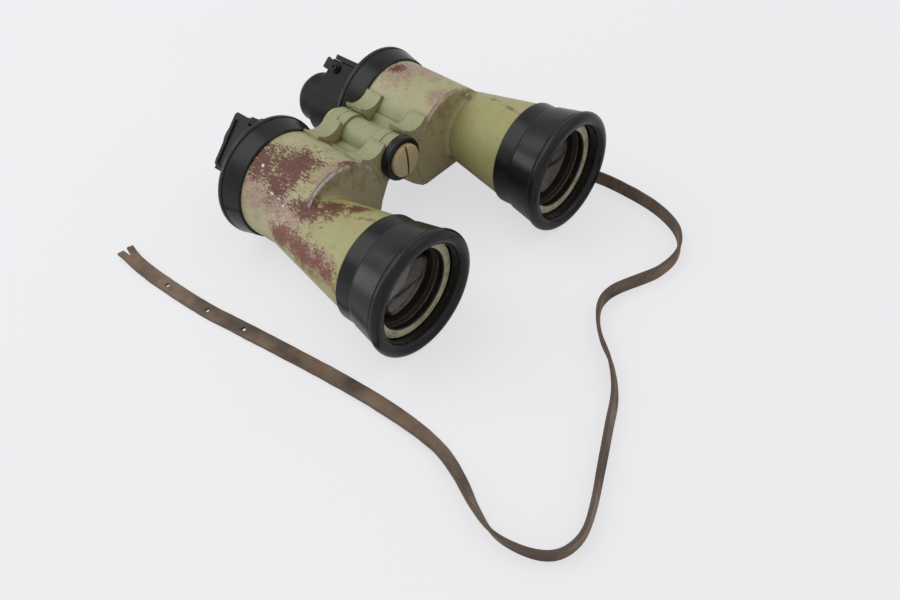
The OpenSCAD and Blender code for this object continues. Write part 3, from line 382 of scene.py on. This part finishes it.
# masks of the drum's front rim: a brown stain, and the lilac grey rubbed in it
def khakiRim(tree, at, noises, side):
    drum = khakiPaint["drum"]
    radius = awayFromAxis(tree, at["X"], at["Z"], (side * drum["x"], drum["z"]))
    behind = calc(tree, "SUBTRACT", at["Y"], drum["front"] * mm)
    inside = times(tree, ramp(tree, radius, (drum["rim"] - 0.5) * mm, drum["rim"] * mm),
        ramp(tree, radius, (drum["rim"] + 1.4) * mm, (drum["rim"] + 1.0) * mm))
    high = times(tree, inside, ramp(tree, at["Z"], 0.052, 0.058))
    worn = speckle(tree, speckle(tree, noises["wide"], noises["fine"], 0.9), noises["medium"], 0.8)
    stained = times(tree, ramp(tree, behind, 0.0036, 0.002), ramp(tree, worn, 0.4, 0.5))
    narrow = times(tree, ramp(tree, behind, 0.0017, 0.0012), ramp(tree, behind, 0.0, 0.0003))
    held = ramp(tree, worn, drum["hold"], drum["hold"] + 0.12)
    return times(tree, high, stained), times(tree, times(tree, high, narrow), held)


def makeKhakiPaint(name, wear, side):
    made, tree, shader, found = newMaterial(name)
    coords = found["Object"]
    at = parts(tree, coords)
    facing = parts(tree, found["Normal"])
    noises = khakiNoises(tree, coords)
    # faces that look forward: they get painted shade in khakiCoat and primer mottle in khakiWear
    front = ramp(tree, facing["Y"], -0.55, -0.9)
    colour = khakiCoat(tree, at, facing, noises, front)
    colour, bare = khakiWear(tree, coords, at, noises, wear, front, colour)
    colour, chip = khakiGrimeAndShade(tree, coords, noises, colour)
    edge = useGroup(tree, wornEdge, {
        "Coords": coords, "Width": 0.0007, "Patchiness": 0.55, "Scale": 330.0})
    worn = times(tree, edge["Mask"], khakiShare["edge"])
    colour = mixColour(tree, worn, colour, khakiPaint["stain"])
    nick = ramp(tree, speckle(tree, spots(tree, coords, wear["metal"]), noises["fine"], 2.4), 0.2, 0.5)
    silver = times(tree, edge["Mask"],
        ramp(tree, cloud(tree, coords, khakiGrain["silver"], 3), 0.58, 0.66))
    stain, rim = khakiRim(tree, at, noises, side)
    colour = mixColour(tree, times(tree, stain, khakiShare["stain"]), colour, khakiPaint["stain"])
    colour = mixColour(tree, rim, colour, khakiPaint["lilac"])
    metal = calc(tree, "MAXIMUM", silver, nick)
    colour = mixColour(tree, metal, colour, khakiPaint["metal"])
    feed(tree, shader["Base Color"], colour)
    feed(tree, shader["Metallic"], times(tree, metal, 0.6))
    gloss = mixValue(tree, bare, khakiPaint["roughness"], 0.58)
    feed(tree, shader["Roughness"], mixValue(tree, metal, gloss, 0.4))
    sunken = times(tree, calc(tree, "MAXIMUM", bare, chip), 0.6)
    height = calc(tree, "SUBTRACT", times(tree, noises["fine"], 0.25), sunken)
    feed(tree, shader["Normal"], bump(tree, height, 0.3, 0.0002, edge["Normal"]))
    return made


# plain worn coat for the smaller painted, plastic, rubber and metal pieces
def makeCoat(name, base, other, roughness, metallic=0.0, wornTo=None, edgeWidth=0.0005, patchiness=0.6,
        grainScale=900, grainDepth=0.00008, dust=0.0, mottle=60, reach=0.004, shine=0.5):
    made, tree, shader, found = newMaterial(name)
    coords = found["Object"]
    wide = cloud(tree, coords, mottle, 4, 0.6)
    fine = cloud(tree, coords, grainScale, 4, 0.65)
    colour = mixColour(tree, ramp(tree, wide, 0.35, 0.7), base, other)
    colour = mixColour(tree, ramp(tree, fine, 0.45, 0.8, 0, 0.25), colour, other)
    edge = useGroup(tree, wornEdge, {
        "Coords": coords, "Width": edgeWidth, "Patchiness": patchiness, "Scale": 400.0})
    level = calc(tree, "ADD", roughness - 0.06, times(tree, wide, 0.14))
    shader["Specular IOR Level"].default_value = shine
    if dust:
        up = parts(tree, found["Normal"])["Z"]
        lying = times(tree, ramp(tree, up, 0.1, 1.0),
            ramp(tree, cloud(tree, coords, 90, 5, 0.7), 0.3, 0.75))
        colour = mixColour(tree, times(tree, lying, dust), colour, srgb(120, 118, 112))
        level = calc(tree, "ADD", level, times(tree, lying, 0.1))
    # painted shade: near-black darkening in hollows by ambient occlusion
    hollowShade = useGroup(tree, hollowShadeGroup, {"Coords": coords, "Reach": reach})["Mask"]
    colour = mixColour(tree, times(tree, hollowShade, 0.6), colour, srgb(24, 20, 17))
    if wornTo:
        colour = mixColour(tree, edge["Mask"], colour, wornTo)
    feed(tree, shader["Base Color"], colour)
    if metallic:
        shader["Metallic"].default_value = metallic
    feed(tree, shader["Roughness"], level)
    feed(tree, shader["Normal"], bump(tree, fine, 0.4, grainDepth, edge["Normal"]))
    return made


def makeGlass(name, tint, roughness=0.02):
    made, tree, shader, found = newMaterial(name)
    coords = found["Object"]
    smear = cloud(tree, coords, 70, 4, 0.6)
    brown = ramp(tree, smear, 0.4, 0.7, 0, 0.12)
    feed(tree, shader["Base Color"], mixColour(tree, brown, tint, srgb(90, 60, 50)))
    shader["Transmission Weight"].default_value = 1.0
    shader["IOR"].default_value = 1.5
    feed(tree, shader["Roughness"], ramp(tree, smear, 0.35, 0.75, roughness, roughness + 0.015))
    return made


# khaki on the bezel's face and black inside its bore
bezelPaint = {
    "face": srgb(188, 180, 150),
    "worn": srgb(150, 140, 110),
    "bore": srgb(24, 20, 18),
    "axis": (67.7, 39.5),
    "reach": 25.5,
}


def makeBezelPaint():
    made, tree, shader, found = newMaterial("bezelTan")
    coords = found["Object"]
    at = parts(tree, coords)
    radius = awayFromAxis(tree, calc(tree, "ABSOLUTE", at["X"]), at["Z"], bezelPaint["axis"])
    medium = cloud(tree, coords, 120, 4, 0.65)
    fine = cloud(tree, coords, 1000, 4, 0.7)
    worn = ramp(tree, speckle(tree, medium, fine, 0.4), 0.45, 0.66)
    colour = mixColour(tree, worn, bezelPaint["face"], bezelPaint["worn"])
    inner = ramp(tree, radius, (bezelPaint["reach"] + 0.3) * mm, bezelPaint["reach"] * mm)
    colour = mixColour(tree, inner, colour, bezelPaint["bore"])
    feed(tree, shader["Base Color"], colour)
    feed(tree, shader["Roughness"], mixValue(tree, inner, 0.5, 0.3))
    feed(tree, shader["Normal"], bump(tree, fine, 0.4, 0.00006))
    return made


paints = {
    "khakiLeft": makeKhakiPaint("khakiPaintLeft", leftWear, -1),
    "khakiRight": makeKhakiPaint("khakiPaintRight", rightWear, 1),
    "rubber": makeCoat("guardRubber", srgb(14, 15, 17), srgb(20, 21, 23), 0.22, dust=0.04, shine=0.3,
        grainScale=1400, grainDepth=0.00002, wornTo=srgb(46, 48, 49), edgeWidth=0.0005, patchiness=0.85),
    "eyeBlack": makeCoat("eyepieceBlack", srgb(13, 14, 15), srgb(20, 20, 21), 0.34, dust=0.04, shine=0.18,
        grainDepth=0.00003, wornTo=srgb(66, 66, 67), edgeWidth=0.0004, patchiness=0.75),
    "flapBlack": makeCoat("flapBlack", srgb(17, 18, 20), srgb(25, 26, 27), 0.38, dust=0.07, shine=0.22,
        grainDepth=0.00004, wornTo=srgb(62, 62, 62), edgeWidth=0.0005, patchiness=0.85),
    "cellBlack": makeCoat("cellBlack", srgb(28, 19, 17), srgb(44, 28, 24), 0.3,
        wornTo=srgb(118, 96, 84), edgeWidth=0.0003, patchiness=0.35),
    "bezelTan": makeBezelPaint(),
    "capTan": makeCoat("hingeCapTan", srgb(178, 162, 124), srgb(160, 142, 104), 0.42, grainDepth=0.00003,
        wornTo=srgb(112, 84, 62), edgeWidth=0.0004, patchiness=0.7),
    "plugTan": makeCoat("plugTan", srgb(186, 180, 146), srgb(166, 158, 122), 0.45,
        wornTo=srgb(120, 110, 88), edgeWidth=0.0003, patchiness=0.5),
    "brass": makeCoat("dullBrass", srgb(128, 104, 58), srgb(92, 74, 44), 0.4, 0.85),
    "steel": makeCoat("wornSteel", srgb(120, 118, 114), srgb(84, 80, 76), 0.35, 0.9),
    "glass": makeGlass("opticalGlass", (0.96, 0.93, 0.9, 1)),
}
print("paints mixed:", len(paints))

finishOf = {
    "body": None, "housing_ring": "rubber", "objective_cover": "rubber", "bezel": "bezelTan",
    "objective_cell": "cellBlack", "cell_ring": "cellBlack", "front_lens": "glass", "back_lens": "glass",
    "rear_cover": "eyeBlack", "cover_screws": "steel", "prism_shelf": "brass", "front_prism": "glass",
    "rear_prism": "glass", "prism_clips": "steel", "eyepiece_body": "eyeBlack", "eyecup": "eyeBlack",
    "eye_tube": "cellBlack", "field_lens": "glass", "eye_lens": "glass", "flap": "flapBlack",
    "flap_rod": "steel", "side_arm": "flapBlack", "arm_screw": "eyeBlack",
    "sealing_plug": "plugTan", "hinge_pin": "steel", "hinge_cap": "capTan", "hinge_ring": "rubber",
    "rear_hinge_cap": "eyeBlack", "strap_lug": "khakiRight", "strap_loop": "capTan",
    "strap_rivet": "brass", "strap": "capTan",
}


def paint(obj, material):
    obj.data.materials.clear()
    obj.data.materials.append(material)


def paintNodes():
    for name, obj in nodes.items():
        side, _, part = name.partition("_")
        if part == "body":
            paint(obj, paints["khakiLeft" if side == "left" else "khakiRight"])
        else:
            paint(obj, paints[finishOf.get(part) or finishOf[name]])


paintNodes()
print("solids painted")

# the leather strap: the same route as in the solids, in mm: x, y, lean, height of its middle
strap = {
    "route": [
        (84.25, 4.7, 90, 12.5), (86, -6, 90, 11), (90, -25, 90, 7.5),
        (98, -47, 90, 5.2), (106, -69, 90, 5.1),
        (112, -91, 90, 5.1), (112, -114, 90, 5.1), (109, -138, 90, 5.1), (101, -158, 90, 5.1),
        (90, -169, 90, 5.1), (76, -174, 90, 5.1), (60, -173, 90, 5.1), (47, -168, 90, 5.1),
        (36, -163, 90, 5.1), (26, -160, 88, 5.1), (15, -161, 86, 5.1), (4, -167, 82, 5.1),
        (-7, -177, 78, 5.1), (-18, -191, 74, 5), (-35, -205, 72, 5), (-55, -215, 72, 5),
        (-78, -226, 74, 5), (-99, -236, 80, 5.1), (-116, -241, 88, 5.1), (-130, -238, 94, 5.1),
        (-138, -227, 98, 5.1), (-141, -209, 106, 5.1), (-136, -192, 118, 5), (-127, -174, 132, 4.6),
        (-120, -153, 148, 3.8), (-118, -123, 166, 2.6), (-120, -86, 174, 1.9), (-124, -50, 178, 1.5),
        (-130, -4, 180, 1.3), (-134, 26, 180, 1.3), (-136, 64, 180, 1.3), (-136, 91, 178, 2),
        (-134, 109, 176, 3.2)],
    "width": 10.0,
    "thickness": 2.1,
    "rowStep": 2.5,
    "forkRows": 3,
    "forkSpread": 0.7,
    "holes": (49, 87, 118),  # mm from the free end
}


def catmull(a, b, c, d, t):
    return [0.5 * (2 * q + (r - p) * t + (2 * p - 5 * q + 4 * r - s) * t ** 2
        + (3 * q - p - 3 * r + s) * t ** 3) for p, q, r, s in zip(a, b, c, d)]


def smoothRoute(points, step):
    last = len(points) - 1
    dense = []
    for i in range(last):
        around = [points[max(i - 1, 0)], points[i], points[i + 1], points[min(i + 2, last)]]
        dense += [catmull(*around, k / 24) for k in range(24)]
    dense.append(list(points[-1]))
    travelled = [0.0]
    for p, q in zip(dense, dense[1:]):
        travelled.append(travelled[-1] + math.dist((p[0], p[1], p[3]), (q[0], q[1], q[3])))
    count = round(travelled[-1] / step)
    evened, k = [], 0
    for row in range(count + 1):
        want = travelled[-1] * row / count
        while k < len(dense) - 2 and travelled[k + 1] < want:
            k += 1
        share = (want - travelled[k]) / (travelled[k + 1] - travelled[k])
        evened.append([p + (q - p) * share for p, q in zip(dense[k], dense[k + 1])])
    return evened, travelled[-1]


def strapFrames(route):
    frames = []
    for i, (x, y, lean, z) in enumerate(route):
        before, after = route[max(i - 1, 0)], route[min(i + 1, len(route) - 1)]
        along = Vector((after[0] - before[0], after[1] - before[1], 0)).normalized()
        side = Vector((along.y, -along.x, 0))
        angle = math.radians(lean)
        wide = side * math.cos(angle) + Vector((0, 0, math.sin(angle)))
        thick = Vector((0, 0, math.cos(angle))) - side * math.sin(angle)
        frames.append((Vector((x, y, z)), wide, thick))
    return frames


def bandMesh(name, frames, across, place, skipped):
    work = bmesh.new()
    uv = work.loops.layers.uv.new("run")
    grid = [[work.verts.new(place(i, u) * mm) for u in across] for i in range(len(frames))]
    for i in range(len(frames) - 1):
        for j in range(len(across) - 1):
            if (i, j) in skipped:
                continue
            face = work.faces.new((grid[i][j], grid[i][j + 1], grid[i + 1][j + 1], grid[i + 1][j]))
            corners = ((i, j), (i, j + 1), (i + 1, j + 1), (i + 1, j))
            for loop, (row, column) in zip(face.loops, corners):
                loop[uv].uv = (row * strap["rowStep"] / 100, across[column] / 10 + 0.5)
    loose = [v for v in work.verts if not v.link_faces]
    bmesh.ops.delete(work, geom=loose, context="VERTS")
    mesh = bpy.data.meshes.new(name)
    work.to_mesh(mesh)
    work.free()
    obj = bpy.data.objects.new(name, mesh)
    bpy.context.scene.collection.objects.link(obj)
    return obj


def choose(obj):
    bpy.ops.object.select_all(action="DESELECT")
    obj.select_set(True)
    bpy.context.view_layer.objects.active = obj


def applyModifier(obj, kind, **settings):
    choose(obj)
    made = obj.modifiers.new(kind.lower(), kind)
    for name, value in settings.items():
        setattr(made, name, value)
    bpy.ops.object.modifier_apply(modifier=made.name)


def thickenBand(obj, thickness):
    applyModifier(obj, "SOLIDIFY", thickness=thickness * mm, offset=0, use_even_offset=True)
    applyModifier(obj, "BEVEL", width=0.35 * mm, segments=1, limit_method="ANGLE",
        angle_limit=math.radians(50))
    applyModifier(obj, "SUBSURF", levels=1, render_levels=1)
    choose(obj)
    bpy.ops.object.shade_smooth_by_angle(angle=math.radians(60))


def makeStrap():
    route, length = smoothRoute(strap["route"], strap["rowStep"])
    frames = strapFrames(route)
    rows = len(route) - 1
    half = strap["width"] / 2
    across = [-half, -half + 0.9, -3, -1.3, -0.3, 0.3, 1.3, 3, half - 0.9, half]
    slit = len(across) // 2 - 1
    skipped = {(rows - 1 - k, slit) for k in range(strap["forkRows"])}
    for away in strap["holes"]:
        row = rows - round(away / strap["rowStep"])
        skipped |= {(row, j) for j in (slit - 1, slit, slit + 1)}

    def place(i, u):
        middle, wide, thick = frames[i]
        wave = noise.noise(Vector((i * 0.11, 0, 3)))
        edge = 0.22 * noise.noise(Vector((i * 0.35, 5 if u > 0 else 9, 0))) * abs(u) / half
        reach = u * (1 + 0.03 * wave) + (edge if u > 0 else -edge)
        cup = 0.28 * (abs(u) / half) ** 2 * (0.6 + wave)
        fork = max(0, i - (rows - strap["forkRows"])) / strap["forkRows"]
        if fork > 0:
            reach += math.copysign(strap["forkSpread"] * fork, u)
            cup += 0.9 * fork * (1 if u > 0 else -0.25)
        point = middle + wide * reach + thick * cup
        floor = strap["thickness"] / 2 * abs(thick.z) + 0.25
        return Vector((point.x, point.y, max(point.z, floor)))

    obj = bandMesh("leatherStrap", frames, across, place, skipped)
    thickenBand(obj, strap["thickness"])
    path = [tuple(v * mm for v in (x, y, z)) for x, y, lean, z in route]
    return obj, path, length * mm


# the end of the strap that goes round the lug's bar, as points of x and y in mm
loop = {
    "outer": [(85.3, 6), (85.4, 10), (85.6, 14), (87.0, 19), (87.4, 24)],
    "centre": (84.25, 24.85),
    "radius": 3.25,
    "inner": [(81.1, 24), (81.6, 19), (83.0, 14), (83.15, 10), (83.2, 6)],
    "height": 12.5,
    "rowStep": 1.2,
}


def makeLoop():
    x, y = loop["centre"]
    turn = [(x + loop["radius"] * math.cos(a), y + loop["radius"] * math.sin(a))
        for a in [math.pi * k / 10 for k in range(1, 10)]]
    line = loop["outer"] + turn + loop["inner"]
    route, _ = smoothRoute([(x, y, 90, loop["height"]) for x, y in line], loop["rowStep"])
    frames = strapFrames(route)
    half = strap["width"] / 2
    across = [-half, -half + 0.9, -1.7, 1.7, half - 0.9, half]

    def place(i, u):
        middle, wide, thick = frames[i]
        return middle + wide * (u + 0.1 * noise.noise(Vector((i * 0.4, u, 0))))

    obj = bandMesh("strapLoop", frames, across, place, set())
    thickenBand(obj, strap["thickness"])
    return obj


leather = {
    "brown": srgb(126, 106, 86),
    "dark": srgb(82, 66, 54),
    "grey": srgb(142, 128, 110),
    "red": srgb(134, 88, 66),
}


def makeLeather():
    made, tree, shader, found = newMaterial("strapLeather")
    coords = found["Object"]
    run = parts(tree, found["UV"])
    wide = cloud(tree, coords, 28, 4, 0.6)
    fine = cloud(tree, coords, 700, 5, 0.7)
    cracks = cloud(tree, stretch(tree, found["UV"], (60, 5, 1)), 14, 4, 0.65)
    colour = mixColour(tree, ramp(tree, wide, 0.35, 0.62), leather["brown"], leather["dark"])
    reddish = ramp(tree, cloud(tree, coords, 60, 4, 0.7), 0.5, 0.75, 0, 0.55)
    colour = mixColour(tree, reddish, colour, leather["red"])
    worn = ramp(tree, cloud(tree, coords, 44, 5, 0.7), 0.5, 0.72, 0, 0.6)
    colour = mixColour(tree, worn, colour, leather["grey"])
    side = calc(tree, "ABSOLUTE", calc(tree, "SUBTRACT", run["Y"], 0.5))
    colour = mixColour(tree, ramp(tree, side, 0.4, 0.49, 0, 0.75), colour, leather["dark"])
    colour = mixColour(tree, ramp(tree, cracks, 0.56, 0.72, 0, 0.55), colour, leather["dark"])
    colour = mixColour(tree, ramp(tree, fine, 0.5, 0.8, 0, 0.45), colour, leather["dark"])
    feed(tree, shader["Base Color"], colour)
    feed(tree, shader["Roughness"], ramp(tree, wide, 0.3, 0.7, 0.5, 0.72))
    height = calc(tree, "SUBTRACT", times(tree, fine, 0.5), ramp(tree, cracks, 0.5, 0.75))
    feed(tree, shader["Normal"], bump(tree, height, 0.5, 0.0003))
    return made


strapObj, strapPath, strapLength = makeStrap()
loopObj = makeLoop()
leatherFinish = makeLeather()
for obj, node in ((strapObj, "strap"), (loopObj, "strap_loop")):
    paint(obj, leatherFinish)
    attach(obj, "right_half")
    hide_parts(node)
print("strap laid, metres:", round(strapLength, 3))

# studio: pale floor and surroundings, soft lamps above and behind
studio = {
    "floor": srgb(236, 236, 239),
    "background": srgb(241, 241, 244),
    "evenness": 0.72,
    "world": 0.66,
    "lamps": [  # direction towards the lamp, distance, size, radiance
        ((-0.35, 0.55, 1.0), 1.6, (1.3, 1.3), 1.5),
        ((-0.56, 0.82, 0.22), 1.6, (0.5, 0.8), 2.4),
        ((0.5, -0.5, 0.9), 1.8, (0.9, 0.9), 0.7),
    ],
}


def makeWorld():
    world = bpy.data.worlds.new("studio")
    bpy.context.scene.world = world
    world.use_nodes = True
    tree = world.node_tree
    tree.nodes.clear()
    path = addNode(tree, "ShaderNodeLightPath").outputs
    seen = calc(tree, "MAXIMUM", path["Is Camera Ray"], path["Is Transmission Ray"])
    light = addNode(tree, "ShaderNodeBackground", {"Color": (1, 1, 1, 1), "Strength": studio["world"]})
    shown = addNode(tree, "ShaderNodeBackground", {"Color": studio["background"], "Strength": 1.0})
    both = addNode(tree, "ShaderNodeMixShader", {"Fac": seen})
    tree.links.new(light.outputs[0], both.inputs[1])
    tree.links.new(shown.outputs[0], both.inputs[2])
    out = addNode(tree, "ShaderNodeOutputWorld")
    tree.links.new(both.outputs[0], out.inputs["Surface"])


def makeFloor():
    bpy.ops.object.select_all(action="DESELECT")
    bpy.ops.mesh.primitive_plane_add(size=12, location=(0, 0, -0.0002))
    floor = bpy.context.active_object
    floor.name = "floor"
    made, tree, shader, found = newMaterial("paleFloor")
    shader["Base Color"].default_value = studio["floor"]
    shader["Roughness"].default_value = 0.85
    path = addNode(tree, "ShaderNodeLightPath").outputs
    glow = addNode(tree, "ShaderNodeEmission", {"Color": studio["background"], "Strength": 1.0})
    share = times(tree, path["Is Camera Ray"], studio["evenness"])
    both = addNode(tree, "ShaderNodeMixShader", {"Fac": share})
    plain = next(n for n in tree.nodes if n.type == "BSDF_PRINCIPLED")
    out = next(n for n in tree.nodes if n.type == "OUTPUT_MATERIAL")
    tree.links.new(plain.outputs[0], both.inputs[1])
    tree.links.new(glow.outputs[0], both.inputs[2])
    tree.links.new(both.outputs[0], out.inputs["Surface"])
    paint(floor, made)


def makeLamps():
    for i, (way, far, size, radiance) in enumerate(studio["lamps"]):
        data = bpy.data.lights.new(f"lamp{i}", "AREA")
        data.shape = "RECTANGLE"
        data.size, data.size_y = size
        data.energy = radiance * math.pi * size[0] * size[1]
        lamp = bpy.data.objects.new(f"lamp{i}", data)
        lamp.location = Vector(way).normalized() * far
        lamp.rotation_euler = Vector(way).to_track_quat("Z", "Y").to_euler()
        bpy.context.scene.collection.objects.link(lamp)


makeWorld()
makeFloor()
makeLamps()
bpy.context.scene.view_settings.view_transform = "Standard"
print("studio lit")
